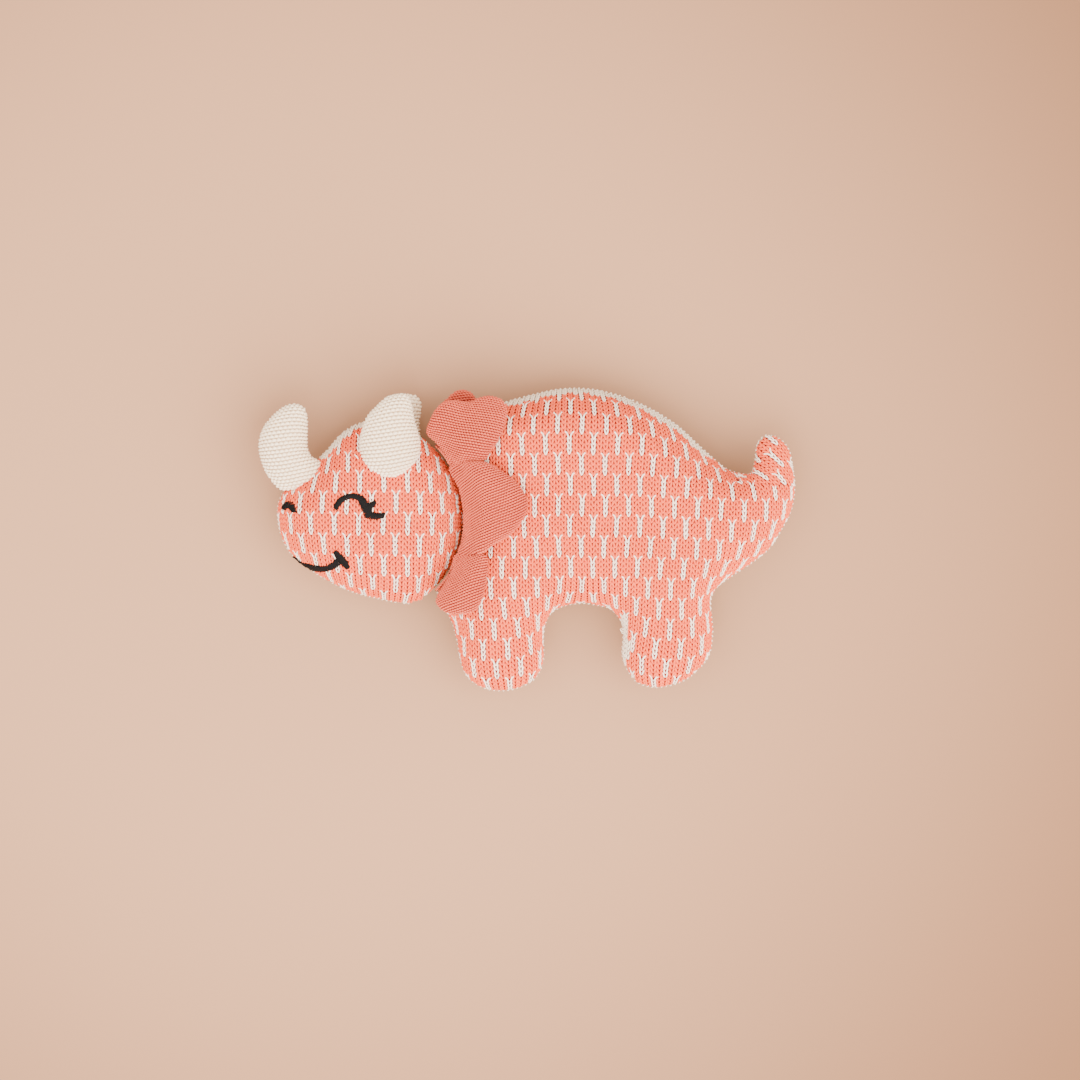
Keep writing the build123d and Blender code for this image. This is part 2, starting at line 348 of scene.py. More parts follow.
# %% [markdown]
# ## A chart from cloth to space
# A chart is a fine table over the flat cloth that says where each spot of it lies in space and which way it
# faces. Any stitch, however small, can then be pressed onto the curved skin in one step.

# %% Charts
CELL = 0.8


def chart(flat, places, normals, faces):
    """Tables of place and normal over flat coordinates, with a margin filled from its neighbours."""
    low = flat.min(0) - 5
    size = ((flat.max(0) + 5 - low) / CELL).astype(int) + 2
    table = np.zeros((size[0], size[1], 6))
    known = np.zeros((size[0], size[1]), bool)
    data = np.hstack([places, normals])
    for tri in faces:
        a, b, c = (flat[tri] - low) / CELL
        lo = np.ceil(np.minimum(np.minimum(a, b), c) - 1e-6).astype(int)
        hi = np.floor(np.maximum(np.maximum(a, b), c) + 1e-6).astype(int) + 1
        cross = (b[0] - a[0]) * (c[1] - a[1]) - (b[1] - a[1]) * (c[0] - a[0])
        if (hi <= lo).any() or cross < 1e-9:
            continue
        x, y = np.meshgrid(np.arange(lo[0], hi[0]), np.arange(lo[1], hi[1]), indexing="ij")
        wb = ((x - a[0]) * (c[1] - a[1]) - (y - a[1]) * (c[0] - a[0])) / cross
        wc = ((b[0] - a[0]) * (y - a[1]) - (b[1] - a[1]) * (x - a[0])) / cross
        keep = (wb > -1e-3) & (wc > -1e-3) & (wb + wc < 1.001)
        w = np.stack([1 - wb - wc, wb, wc], -1)[keep]
        table[x[keep], y[keep]] = w @ data[tri]
        known[x[keep], y[keep]] = True
    real = known.copy()
    for _ in range(5):
        total, count = np.zeros_like(table), np.zeros(known.shape)
        for dx, dy in ((1, 0), (-1, 0), (0, 1), (0, -1)):
            moved = np.roll(known, (dx, dy), (0, 1))
            total += np.roll(table, (dx, dy), (0, 1)) * moved[..., None]
            count += moved
        new = ~known & (count > 0)
        table[new] = total[new] / count[new][:, None]
        known |= new
    return {"low": low, "table": table, "real": real}


def look_up(sheet, spots):
    """Place, normal and whether the cloth is there, for flat coordinates."""
    at = (spots - sheet["low"]) / CELL
    top = np.array(sheet["real"].shape) - 2
    cell = np.clip(np.floor(at).astype(int), 0, top)
    f = np.clip(at - cell, 0, 1)[:, None, :]
    x, y = cell.T
    t = sheet["table"]
    mixed = ((t[x, y] * (1 - f[..., 0]) + t[x + 1, y] * f[..., 0]) * (1 - f[..., 1])
             + (t[x, y + 1] * (1 - f[..., 0]) + t[x + 1, y + 1] * f[..., 0]) * f[..., 1])
    normal = mixed[:, 3:] / np.maximum(np.linalg.norm(mixed[:, 3:], axis=1), 1e-9)[:, None]
    near = np.clip(np.round(at).astype(int), 0, top + 1)
    return mixed[:, :3], normal, sheet["real"][near[:, 0], near[:, 1]]


# %% [markdown]
# ## Yarn, thread and painted shade
# Every finish is procedural. The yarn reads a value that each stitch carries along its own length, so its two
# plies can be drawn as slanting lines, and a fine noise stands for the fuzz between them. The same value raises
# the bump and sets the colour, darker where it is low: partly the fibres' own uneven tone, partly painted shade.

# %% Finishes
def linear(colour):
    """Screen colour, 0 to 255, as the linear values that a shader takes."""
    return [((c / 255 + 0.055) / 1.055) ** 2.4 if c > 10 else c / 255 / 12.92 for c in colour] + [1.0]


def finish(name, light, dark, sheen=0.35, rough=0.9, plies=True, bump=0.35):
    """A soft fibre finish between two colours."""
    made = bpy.data.materials.new(name)
    made.use_nodes = True
    nodes, links = made.node_tree.nodes, made.node_tree.links
    shader = nodes["Principled BSDF"]
    shader.inputs["Roughness"].default_value = rough
    shader.inputs["Sheen Weight"].default_value = sheen
    shader.inputs["Sheen Roughness"].default_value = 0.45
    shader.inputs["Sheen Tint"].default_value = linear(light)
    shader.inputs["Specular IOR Level"].default_value = 0.2
    place = nodes.new("ShaderNodeTexCoord")
    fuzz = nodes.new("ShaderNodeTexNoise")
    fuzz.inputs["Scale"].default_value = 2600
    fuzz.inputs["Detail"].default_value = 3
    links.new(place.outputs["Object"], fuzz.inputs["Vector"])
    value = fuzz.outputs["Fac"]
    if plies:
        yarn = nodes.new("ShaderNodeAttribute")
        yarn.attribute_name = "yarn"
        split = nodes.new("ShaderNodeSeparateXYZ")
        links.new(yarn.outputs["Vector"], split.inputs[0])
        slant = nodes.new("ShaderNodeMath")
        slant.operation = "MULTIPLY_ADD"
        slant.inputs[1].default_value = 2.0
        links.new(split.outputs["Y"], slant.inputs[0])
        links.new(split.outputs["X"], slant.inputs[2])
        turn = nodes.new("ShaderNodeMath")
        turn.operation = "MULTIPLY"
        turn.inputs[1].default_value = 2 * math.pi
        links.new(slant.outputs[0], turn.inputs[0])
        wave = nodes.new("ShaderNodeMath")
        wave.operation = "SINE"
        links.new(turn.outputs[0], wave.inputs[0])
        add = nodes.new("ShaderNodeMath")
        add.operation = "MULTIPLY_ADD"
        add.inputs[1].default_value = 0.16
        links.new(wave.outputs[0], add.inputs[0])
        links.new(value, add.inputs[2])
        value = add.outputs[0]
    # Colour follows the bump: low places get the darker colour, painted shade in the ply grooves over the fibres'
    # own tone.
    mix = nodes.new("ShaderNodeMix")
    mix.data_type = "RGBA"
    span = nodes.new("ShaderNodeMapRange")
    span.inputs["From Min"].default_value = 0.25
    span.inputs["From Max"].default_value = 0.7
    links.new(value, span.inputs["Value"])
    links.new(span.outputs[0], mix.inputs["Factor"])
    mix.inputs["A"].default_value = linear(dark)
    mix.inputs["B"].default_value = linear(light)
    links.new(mix.outputs["Result"], shader.inputs["Base Color"])
    raised = nodes.new("ShaderNodeBump")
    raised.inputs["Strength"].default_value = bump
    raised.inputs["Distance"].default_value = 0.0003
    links.new(value, raised.inputs["Height"])
    links.new(raised.outputs[0], shader.inputs["Normal"])
    return made


CORAL = finish("coral yarn", (248, 114, 70), (210, 60, 32), sheen=0.08)
WHITE = finish("white yarn", (255, 238, 222), (248, 214, 190), sheen=0.15)
CREAM = finish("cream yarn", (240, 226, 204), (214, 190, 160))
HORN = finish("horn yarn", (255, 238, 210), (240, 212, 174), sheen=0.12)
FRILL = finish("frill yarn", (224, 106, 78), (186, 70, 48), sheen=0.12)
# Each skin under the stitches is painted far darker than its yarn: painted shade in the holes between the stitches,
# coral on the fronts, cream on the backs and horns, red on the frill.
CORAL_PAINTED_SHADE = finish("coral between the stitches", (140, 30, 18), (112, 22, 14), sheen=0.05, plies=False)
CREAM_PAINTED_SHADE = finish("cream between the stitches", (206, 180, 150), (186, 158, 130), plies=False)
FRILL_PAINTED_SHADE = finish("frill between the stitches", (128, 36, 22), (104, 28, 18), sheen=0.05, plies=False)
THREAD = finish("dark thread", (8, 4, 4), (2, 1, 1), sheen=0.0, rough=0.8)

# %% [markdown]
# ## Stitches as real loops
# A stocking stitch shows two plump legs that meet at the foot, a V. A purl stitch shows a short bowed bump.
# Each is made once as a small tube, then pressed onto the cloth at every place of the pattern.

# %% Stitch shapes
def tube(path, radii, around, flat=1.0):
    """A closed soft tube through some points: its vertices, quads and yarn values."""
    path = np.array(path, float)
    along = np.gradient(path, axis=0)
    along /= np.linalg.norm(along, axis=1)[:, None]
    side = np.cross(along, [0, 0, 1.0])
    side /= np.maximum(np.linalg.norm(side, axis=1), 1e-6)[:, None]
    up = np.cross(side, along)
    turn = np.arange(around) / around * 2 * math.pi + math.pi / 2
    ring = (side[:, None] * np.cos(turn)[None, :, None] + up[:, None] * np.sin(turn)[None, :, None] * flat)
    verts = (path[:, None] + ring * np.array(radii)[:, None, None]).reshape(-1, 3)
    k, m = np.meshgrid(np.arange(len(path) - 1), np.arange(around), indexing="ij")
    k, m = k.ravel(), m.ravel()
    quads = np.stack([k * around + m, k * around + (m + 1) % around, (k + 1) * around + (m + 1) % around,
                      (k + 1) * around + m], 1)
    run = np.repeat(np.arange(len(path)) / (len(path) - 1), around)
    yarn = np.stack([run * 1.6, np.tile(np.arange(around) / around, len(path)), 0 * run], 1)
    return verts, quads, yarn


def joined(*shapes):
    """Several shapes as one."""
    verts, quads, yarn, n = [], [], [], 0
    for v, q, y in shapes:
        verts.append(v)
        quads.append(q + n)
        yarn.append(y)
        n += len(v)
    return np.vstack(verts), np.vstack(quads), np.vstack(yarn)


WALE, COURSE = 3.25, 2.85


def knit_leg(hand, spread, fat=1.0):
    """One leg of a stocking stitch, from its foot in the middle to its open top."""
    path = [(hand * WALE * u * spread, COURSE * v, h) for u, v, h in
            ((0.05, -0.70, -0.2), (0.14, -0.44, 0.5), (0.25, -0.05, 0.75), (0.36, 0.36, 0.5), (0.42, 0.66, -0.3))]
    return tube(path, np.array((0.34, 0.58, 0.66, 0.60, 0.36)) * fat, 5, 0.95)


def open_leg(hand):
    """The topmost white stitch of a dash: its legs spread, and a short float shows beside each."""
    leg = [(hand * WALE * u, COURSE * v, h) for u, v, h in
           ((0.05, -0.70, -0.1), (0.15, -0.42, 0.6), (0.25, -0.02, 0.85), (0.37, 0.36, 0.75), (0.47, 0.72, 0.0))]
    float_end = [(hand * WALE * u, COURSE * v, h) for u, v, h in
                 ((0.50, 0.40, -0.1), (0.58, 0.55, 0.75), (0.66, 0.74, 0.85), (0.78, 0.86, 0.3))]
    return joined(tube(leg, (0.28, 0.42, 0.46, 0.44, 0.32), 5, 0.95),
                  tube(float_end, (0.24, 0.40, 0.40, 0.24), 5, 0.95))


KNIT = joined(knit_leg(1, 1.0, 0.95), knit_leg(-1, 1.0, 0.95))
CHAIN = joined(knit_leg(1, 0.86, 0.66), knit_leg(-1, 0.86, 0.66))
OPEN = joined(open_leg(1), open_leg(-1))


def purl(wide, high, fat):
    """A bowed bump that lies along its row."""
    path = [(wide * u, high * v, h * fat) for u, v, h in
            ((-0.46, -0.20, -0.6), (-0.28, 0.06, 0.30), (0, 0.16, 0.70), (0.28, 0.06, 0.30), (0.46, -0.20, -0.6))]
    return tube(path, np.array([0.4, 0.85, 1.0, 0.85, 0.4]) * fat, 5, 0.95)


print("knit stitch:", len(KNIT[0]), "points and", len(KNIT[1]) * 2, "triangles")


# %% [markdown]
# ## Laying out a row
# The pattern is a lattice on the flat cloth. Only the places where there is cloth get a stitch, and a small
# seeded wander keeps the rows from looking printed.

# %% Lay out and press on the stitches
CHANCE = np.random.default_rng(7)


def lattice(sheet, wide, high, turn=0.0, stagger=False):
    """Places of the stitches on the cloth, with each one's column and row."""
    shape = np.array(sheet["real"].shape)
    middle = sheet["low"] + shape * CELL / 2
    reach = float(np.hypot(*shape)) * CELL / 2
    i, j = np.meshgrid(np.arange(-int(reach / wide) - 1, int(reach / wide) + 2),
                       np.arange(-int(reach / high) - 1, int(reach / high) + 2), indexing="ij")
    i, j = i.ravel(), j.ravel()
    u = (i + (0.5 * (j % 2) if stagger else 0)) * wide
    u = u + 0.10 * wide * np.sin(j * 0.37 + i * 0.21)
    v = j * high + 0.08 * high * np.sin(i * 0.53)
    c, s = math.cos(turn), math.sin(turn)
    spots = middle + np.stack([c * u - s * v, s * u + c * v], 1)
    keep = look_up(sheet, spots)[2]
    return spots[keep], i[keep], j[keep]


def press(sheet, spots, shape, turn=0.0, lift=0.0):
    """One shape pressed onto the cloth at every spot: all vertices, quads and yarn values."""
    verts, quads, yarn = shape
    k, m = len(spots), len(verts)
    lean = turn + CHANCE.normal(0, 0.035, k)
    size = 1 + CHANCE.normal(0, 0.03, (k, 1))
    c, s = np.cos(lean)[:, None], np.sin(lean)[:, None]
    flat = np.stack([spots[:, :1] + size * (c * verts[:, 0] - s * verts[:, 1]),
                     spots[:, 1:] + size * (s * verts[:, 0] + c * verts[:, 1])], -1).reshape(-1, 2)
    place, normal, _ = look_up(sheet, flat)
    height = np.tile(verts[:, 2], k) * np.repeat(size, m) + lift
    out = place + normal * height[:, None]
    tone = np.repeat(CHANCE.random(k), m)
    values = np.tile(yarn, (k, 1))
    values[:, 2] = tone
    return out, (quads[None] + (np.arange(k) * m)[:, None, None]).reshape(-1, 4), values


def build(name, verts, quads, materials, which=None, yarn=None, smooth=True):
    """A mesh object from vertices in millimetres and faces."""
    sides = quads.shape[1]
    mesh = bpy.data.meshes.new(name)
    mesh.vertices.add(len(verts))
    mesh.vertices.foreach_set("co", (verts * MM).astype(np.float32).ravel())
    mesh.loops.add(quads.size)
    mesh.loops.foreach_set("vertex_index", quads.astype(np.int32).ravel())
    mesh.polygons.add(len(quads))
    mesh.polygons.foreach_set("loop_start", np.arange(len(quads), dtype=np.int32) * sides)
    for m in materials:
        mesh.materials.append(m)
    if which is not None:
        mesh.polygons.foreach_set("material_index", which.astype(np.int32))
    mesh.update(calc_edges=True)
    mesh.polygons.foreach_set("use_smooth", np.full(len(quads), smooth))
    if yarn is not None:
        held = mesh.attributes.new("yarn", "FLOAT_VECTOR", "POINT")
        held.data.foreach_set("vector", yarn.astype(np.float32).ravel())
    made = bpy.data.objects.new(name, mesh)
    bpy.context.scene.collection.objects.link(made)
    return made


def attach(piece, part):
    """The legs' and the tail's pieces only have their transform applied and ride no body; every other part rides its
    own body.
    """
    if part == "tail":
        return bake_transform(piece)
    if part == "front_leg":
        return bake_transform(piece)
    if part == "hind_leg":
        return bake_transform(piece)
    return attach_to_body(piece, part)


def body_parts(spots):
    """Which part of the body section each spot belongs to."""
    x, y = spots[:, 0], spots[:, 1]
    low = y < -36
    return np.select([low & (x < 25), low, x > 100], ["front_leg", "hind_leg", "tail"], "torso")




def knit(name, sheet, spots, shape, materials, colours, parts, turn=0.0):
    """Pressed-on stitches as pieces, split by part and kept small enough to print."""
    out = []
    place = look_up(sheet, spots)[0]
    owner = parts(place) if callable(parts) else np.full(len(spots), parts)
    for part in sorted(set(owner)):
        ids = np.flatnonzero(owner == part)
        ids = ids[np.argsort(place[ids, 0], kind="stable")]
        share = int(math.ceil(len(ids) * len(shape[1]) * 2 / 190000))
        for number, some in enumerate(np.array_split(ids, max(share, 1))):
            verts, quads, yarn = press(sheet, spots[some], shape, turn)
            piece = build(f"{name}_{part}_{number + 1}", verts, quads, materials,
                          np.repeat(colours[some], len(shape[1])), yarn)
            attach(piece, str(part))
            out.append(piece)
    print(name, len(spots), "stitches in", len(out), "pieces")
    return out

# %% [markdown]
# ## The body
# The body, both legs and the tail are cut as one shape on the real toy, so they are one section here. Its front
# is a two-colour knit: a white dash four rows tall, with the next row of dashes set half a step across.

# %% Body section
NECK, NECK_RADIUS = (-92.2, 11.7), 58.0


def from_neck(x, y):
    """Distance and angle from the point that the head nods about."""
    return math.hypot(x - NECK[0], y - NECK[1]), math.atan2(y - NECK[1], x - NECK[0])


def on_arc(radius, angles):
    """Points on an arc about the neck."""
    return [(NECK[0] + radius * math.cos(a), NECK[1] + radius * math.sin(a)) for a in angles]


outer = [p for p in BODY if from_neck(*p)[0] > NECK_RADIUS + 2]
first, last = from_neck(*outer[-1])[1] + 0.05, from_neck(*outer[0])[1] - 0.05
BODY_CUT = outer + on_arc(NECK_RADIUS, np.linspace(first, last, 16))
body = section(BODY_CUT, 29.0, 0.80, 27.0, 3.6, 40.0, 2.0)

parts_of_face = body_parts(body["skin"][body["closed"]].mean(1))
for part, nodes in (("torso", ["torso_front_panel", "torso_back_panel", "torso_filling"]),
                    ("front_leg", ["front_leg_front_panel", "front_leg_back_panel", "front_leg_filling"]),
                    ("hind_leg", ["hind_leg_front_panel", "hind_leg_back_panel", "hind_leg_filling"]),
                    ("tail", ["tail_front_panel", "tail_back_panel", "tail_filling"])):
    mine = body["closed"][parts_of_face == part]
    used, again = np.unique(mine, return_inverse=True)
    again = again.reshape(-1, 3)
    on_back = body["skin"][mine].mean(1)[:, 2] < 29.0
    # Painted shade: the skin under the stitches is dark coral in front and dark cream behind.
    piece = build(part + "_skin", body["skin"][used], again, [CORAL_PAINTED_SHADE, CREAM_PAINTED_SHADE], on_back.astype(int))
    attach(piece, part)
    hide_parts(*nodes)


def dashes(i, j):
    """White where a dash stands: one column in four, half a step across on every other band of four rows."""
    return ((i + 2 * ((j // 4) % 2)) % 4 == 0).astype(int)




def rolled_edge(place, loop, lows, highs):
    """Where the back's cream cloth rolls over the seam into sight: close to the rim, between some corners."""
    near = distance_to(loop, place[:, :2]) < 2.6
    hit = np.zeros(len(place), bool)
    for (x0, y0), (x1, y1) in zip(lows, highs):
        hit |= (place[:, 0] > x0) & (place[:, 0] < x1) & (place[:, 1] > y0) & (place[:, 1] < y1)
    return near & hit


def jacquard(name, made, parts, lows, highs, keep=None, turn=0.0):
    """The front's two-colour knit, with its spread stitches on top of each dash."""
    spots, i, j = lattice(made["front"], WALE, COURSE, turn)
    place = look_up(made["front"], spots)[0]
    if keep is not None:
        some = keep(place)
        spots, i, j, place = spots[some], i[some], j[some], place[some]
    colour = dashes(i, j)
    colour[rolled_edge(place, made["loop"], lows, highs)] = 2
    top = (colour == 1) & (j % 4 == 3)
    finishes = [CORAL, WHITE, CREAM]
    white = (colour == 1) & ~top
    knit(name, made["front"], spots[colour != 1], KNIT, finishes, colour[colour != 1], parts, turn)
    knit(name + "_dashes", made["front"], spots[white], CHAIN, finishes, colour[white], parts,
         turn)
    knit(name + "_tops", made["front"], spots[top], OPEN, finishes, colour[top], parts, turn)


def tail_tip(place):
    """The upturned end of the tail, where the cloth's grain leans over."""
    return (place[:, 0] > 118) & (place[:, 1] > 30)


BODY_LOWS, BODY_HIGHS = [(-12, 45), (53, -68)], [(127, 90), (60, -42)]
jacquard("body_front", body, body_parts, BODY_LOWS, BODY_HIGHS, lambda place: ~tail_tip(place))
jacquard("tail_tip", body, "tail", BODY_LOWS, BODY_HIGHS, tail_tip, 0.62)
spots, i, j = lattice(body["back"], WALE, COURSE)
knit("body_back", body["back"], spots, KNIT, [CREAM, CREAM], dashes(i, j), body_parts)

# %% [markdown]
# ## The head
# The head is its own section: it nods about the middle of its round rear edge, which keeps the gap to the body
# even.

# %% Head section
def within_reach(point, reach):
    """A point drawn in to a distance from the neck."""
    far, angle = from_neck(*point)
    return on_arc(min(far, reach), [angle])[0]


face_first = [within_reach(p, 56.3) if p[0] > NECK[0] else p for p in HEAD
              if p[0] < NECK[0] or abs(from_neck(*p)[1]) > math.radians(50)]
gap_at = max(range(len(face_first)), key=lambda k: math.dist(face_first[k], face_first[k - 1]))
face_first = face_first[gap_at:] + face_first[:gap_at]
HEAD_CUT = face_first + on_arc(56.0, np.linspace(from_neck(*face_first[-1])[1] + 0.06,
                                                 from_neck(*face_first[0])[1] - 0.06, 16))
head = section(HEAD_CUT, 28.0, 0.84, 26.0, 3.4, 40.0, 2.0)
# Painted shade: the skin under the stitches is dark coral in front and dark cream behind.
piece = build("head_skin", head["skin"], head["closed"], [CORAL_PAINTED_SHADE, CREAM_PAINTED_SHADE],
              (head["skin"][head["closed"]].mean(1)[:, 2] < 28).astype(int))
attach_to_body(piece, "head")
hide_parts("head_front_panel", "head_back_panel", "head_filling")
jacquard("head_front", head, "head", [(-118, 44)], [(-60, 70)])
spots, i, j = lattice(head["back"], WALE, COURSE)
knit("head_back", head["back"], spots, KNIT, [CREAM, CREAM], dashes(i, j), "head")

# %% [markdown]
# ## Horns
# The horns are small stuffed caps in cream purl knit. The nose horn and the nearer brow horn are sewn onto the
# front of the head, so their bases rise from its surface. The farther brow horn is sewn on behind.

# %% Horns
NOSE_HORN = [(-131.5, 75.5), (-127.5, 75), (-124, 72.5), (-123, 66.5), (-123, 58), (-123, 51), (-120.5, 46),
             (-115.5, 43), (-115.5, 38.5), (-120, 32.5), (-128.5, 28), (-137.5, 27.5), (-143.5, 33.5), (-148, 42),
             (-150, 52.5), (-148, 61), (-143.5, 67.5), (-137.5, 73)]
NEAR_HORN = [(-73, 80.5), (-67.5, 80.5), (-64.5, 76.5), (-63.5, 69.5), (-61.5, 61.5), (-59.5, 54), (-60.5, 46),
             (-66.5, 38), (-75.5, 34), (-85.5, 37.5), (-91, 43.5), (-93, 51.5), (-92, 60), (-89, 68), (-83, 74.5),
             (-78, 79)]
FAR_HORN = [(-68, 81.5), (-63, 81), (-60, 78), (-60, 72), (-61, 64.5), (-60.5, 57.5), (-62.5, 51.5), (-71, 48.5),
            (-79.5, 52), (-82, 60), (-79.5, 69.5), (-74.5, 77)]


def resting_on(sheet, middle, share):
    """Lifts a piece's front onto what it is sewn to, and no more than it needs."""
    def shape(skin):
        place, _, there = look_up(sheet, skin[:, :2])
        ground = np.where(there, place[:, 2], middle - 30)
        above = np.maximum(skin[:, 2] - middle, 0)
        raised = ground + 0.6 + share * above
        front = skin[:, 2] >= middle - 1e-6
        lift = np.where(front, np.log1p(np.exp(np.clip((raised - skin[:, 2]) / 2.5, -30, 30))) * 2.5, 0)
        out = skin.copy()
        out[:, 2] += lift
        return out
    return shape


HORN_PITCH = 2.5
for name, outline, middle, share in (("nose_horn", NOSE_HORN, 34.0, 0.35), ("near_brow_horn", NEAR_HORN, 45.5, 0.6),
                                     ("far_brow_horn", FAR_HORN, 13.5, 0.5)):
    rest = resting_on(head["front_plan"], middle, share) if name != "far_brow_horn" else None
    made = section(outline, middle, 1.0, 14.2, 2.2, 30.0, 0.8, rest)
    # Painted shade: the horn's skin under its stitches is a darker cream.
    piece = build(name + "_skin", made["skin"], made["closed"], [CREAM_PAINTED_SHADE])
    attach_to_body(piece, name)
    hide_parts(name + "_front_cover", name + "_back_cover", name + "_filling")
    for side in ("front", "back"):
        spots, i, j = lattice(made[side], HORN_PITCH, HORN_PITCH * 0.82, 0.12, True)
        knit(name + "_" + side, made[side], spots, purl(HORN_PITCH, HORN_PITCH * 0.82, 0.92), [HORN],
             np.zeros(len(spots), int), name, 0.12)

# %% [markdown]
# ## The frill
# Four flat, lightly stuffed lobes fan out from the seam at the neck and lie over the body. Each rises out of
# the fold between head and body, then lies just above the body's front.

# %% Frill
UPPER = [(-56.5, 59), (-54, 67), (-50.5, 73), (-45.5, 77), (-38.5, 77.5), (-32, 76.5), (-26.5, 79), (-20.5, 80),
         (-15, 78.5), (-11.5, 75), (-10.5, 69.5), (-12.5, 61), (-15.5, 54), (-19.5, 49), (-22.5, 43.5), (-33, 42),
         (-42, 39.5), (-46.5, 46), (-51, 53)]
TOP = [(-51, 69.5), (-48, 76), (-44, 80.5), (-38.5, 84), (-33, 83.5), (-29, 80.5), (-27.5, 75.5), (-30.5, 68.5),
       (-40, 64.5)]
MIDDLE = [(-44, 39.5), (-36.5, 43), (-29, 43.5), (-21, 42.5), (-13, 37.5), (-5.5, 32), (-0.5, 25), (1, 18.5),
          (-0.5, 12.5), (-5, 5.5), (-11.5, 0), (-18.5, -4), (-23.5, -8), (-32, -10), (-40.5, -11.5), (-37, -0.5),
          (-36, 13.5), (-38.5, 27.5)]
LOWER = [(-40, -8), (-31.5, -8), (-22.5, -8.5), (-21, -15), (-22, -23), (-24, -33), (-28, -40), (-34.5, -42),
         (-43, -42), (-49.5, -38.5), (-51, -33), (-46, -23), (-42.5, -14.5)]


def fanned(root, top, droop, reach=13.0):
    """Carries a flat lobe from low in the fold to just above the body, and lets it droop past the body's edge."""
    def shape(skin):
        out = skin.copy()
        away = np.hypot(skin[:, 0] - NECK[0], skin[:, 1] - NECK[1]) - 56.5
        t = np.clip(away / reach, 0, 1)
        low = np.zeros(len(skin))
        for dx, dy in [(6 * math.cos(a), 6 * math.sin(a)) for a in np.arange(8) * math.pi / 4] + [(0, 0)]:
            place, _, there = look_up(body["front_plan"], skin[:, :2] + (dx, dy))
            ground = np.where(there, place[:, 2], 29.0)
            low += np.clip((56.5 - ground) / 27, 0, 1) / 9
        out[:, 2] += root + (top - root) * t * t * (3 - 2 * t) - droop * low * t
        return out
    return shape


LOBES = {"upper": (UPPER, 44.0, 61.0, 34.0, -0.17, 11.0), "top": (TOP, 28.0, 28.0, 52.0, 0.1, 0.0),
         "middle": (MIDDLE, 44.0, 62.0, 3.0, 0.38, 6.0), "lower": (LOWER, 44.0, 61.0, -33.0, 0.3, 11.0)}
for name, (outline, root, top, toward, turn, droop) in LOBES.items():
    body_name = "frill_" + name
    made = section(outline, 0.0, 0.62, 5.4, 2.2, 12.0, 0.6, fanned(root, top, droop))
    # Painted shade: the lobe's skin under its stitches is dark red.
    piece = build(body_name + "_skin", made["skin"], made["closed"], [FRILL_PAINTED_SHADE])
    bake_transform(piece)
    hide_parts(body_name + "_front", body_name + "_back", body_name + "_wadding")
    for side in ("front", "back"):
        spots, i, j = lattice(made[side], 1.65, 1.45, turn, True)
        verts, quads, yarn = press(made[side], spots, purl(1.65, 1.45, 0.52), turn)
        piece = build(body_name + "_" + side + "_knit", verts, quads, [FRILL], np.zeros(len(quads), int), yarn)
        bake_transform(piece)
    print(body_name, "done")

# %% [markdown]
# ## The frill's root
# Inside the fold the lobes hang from one narrow knitted band that is sewn all along the neck seam.

# %% Frill root
angles = np.radians(np.arange(-45, 46, 2.0))
levels = np.linspace(26, 47, 8)
flat = np.array([(57.7 * a, z) for a in angles for z in levels])
inner = np.array([(*on_arc(57.4, [a])[0], z) for a in angles for z in levels])
facing = np.array([(math.cos(a), math.sin(a), 0) for a in angles for z in levels])
grid = np.arange(len(flat)).reshape(len(angles), len(levels))
corner = [grid[:-1, :-1].ravel(), grid[1:, :-1].ravel(), grid[1:, 1:].ravel(), grid[:-1, 1:].ravel()]
tris = np.vstack([np.stack([corner[0], corner[1], corner[2]], 1), np.stack([corner[0], corner[2], corner[3]], 1)])
# Painted shade: the band's skin under its stitches is dark red.
piece = build("frill_root_skin", inner + facing * 0.3, tris, [FRILL_PAINTED_SHADE])
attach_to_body(piece, "torso")
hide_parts("frill_band")
band = chart(flat, inner + facing * 0.3, facing, tris)
spots, i, j = lattice(band, 1.6, 1.4, 0.0, True)
verts, quads, yarn = press(band, spots, purl(1.6, 1.4, 0.5))
piece = build("frill_root_knit", verts, quads, [FRILL], np.zeros(len(quads), int), yarn)
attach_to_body(piece, "torso")

# %% [markdown]
# ## Embroidery
# The face is satin stitch: dark threads laid side by side straight across each line, so close that no cloth
# shows. The threads stand a little proud and dive into the cloth at both ends.

# %% Satin stitch
def open_curve(points, pitch):
    """A smooth line through points that may carry a width, resampled evenly along its length."""
    p = np.array(points, float)
    p = np.vstack([2 * p[0] - p[1], p, 2 * p[-1] - p[-2]])
    fine = []
    for a, b, c, d in zip(p, p[1:], p[2:], p[3:]):
        t = np.linspace(0, 1, 14, endpoint=False)[:, None]
        square, cube = 2 * a - 5 * b + 4 * c - d, 3 * b - a - 3 * c + d
        fine.append(0.5 * (2 * b + (c - a) * t + square * t**2 + cube * t**3))
    fine = np.vstack(fine + [p[-2:-1]])
    run = np.concatenate([[0], np.cumsum(np.linalg.norm(np.diff(fine[:, :2], axis=0), axis=1))])
    at = np.linspace(0, run[-1], max(int(run[-1] / pitch), 3))
    return np.stack([np.interp(at, run, fine[:, k]) for k in range(fine.shape[1])], 1)


THREAD_PITCH = 0.42


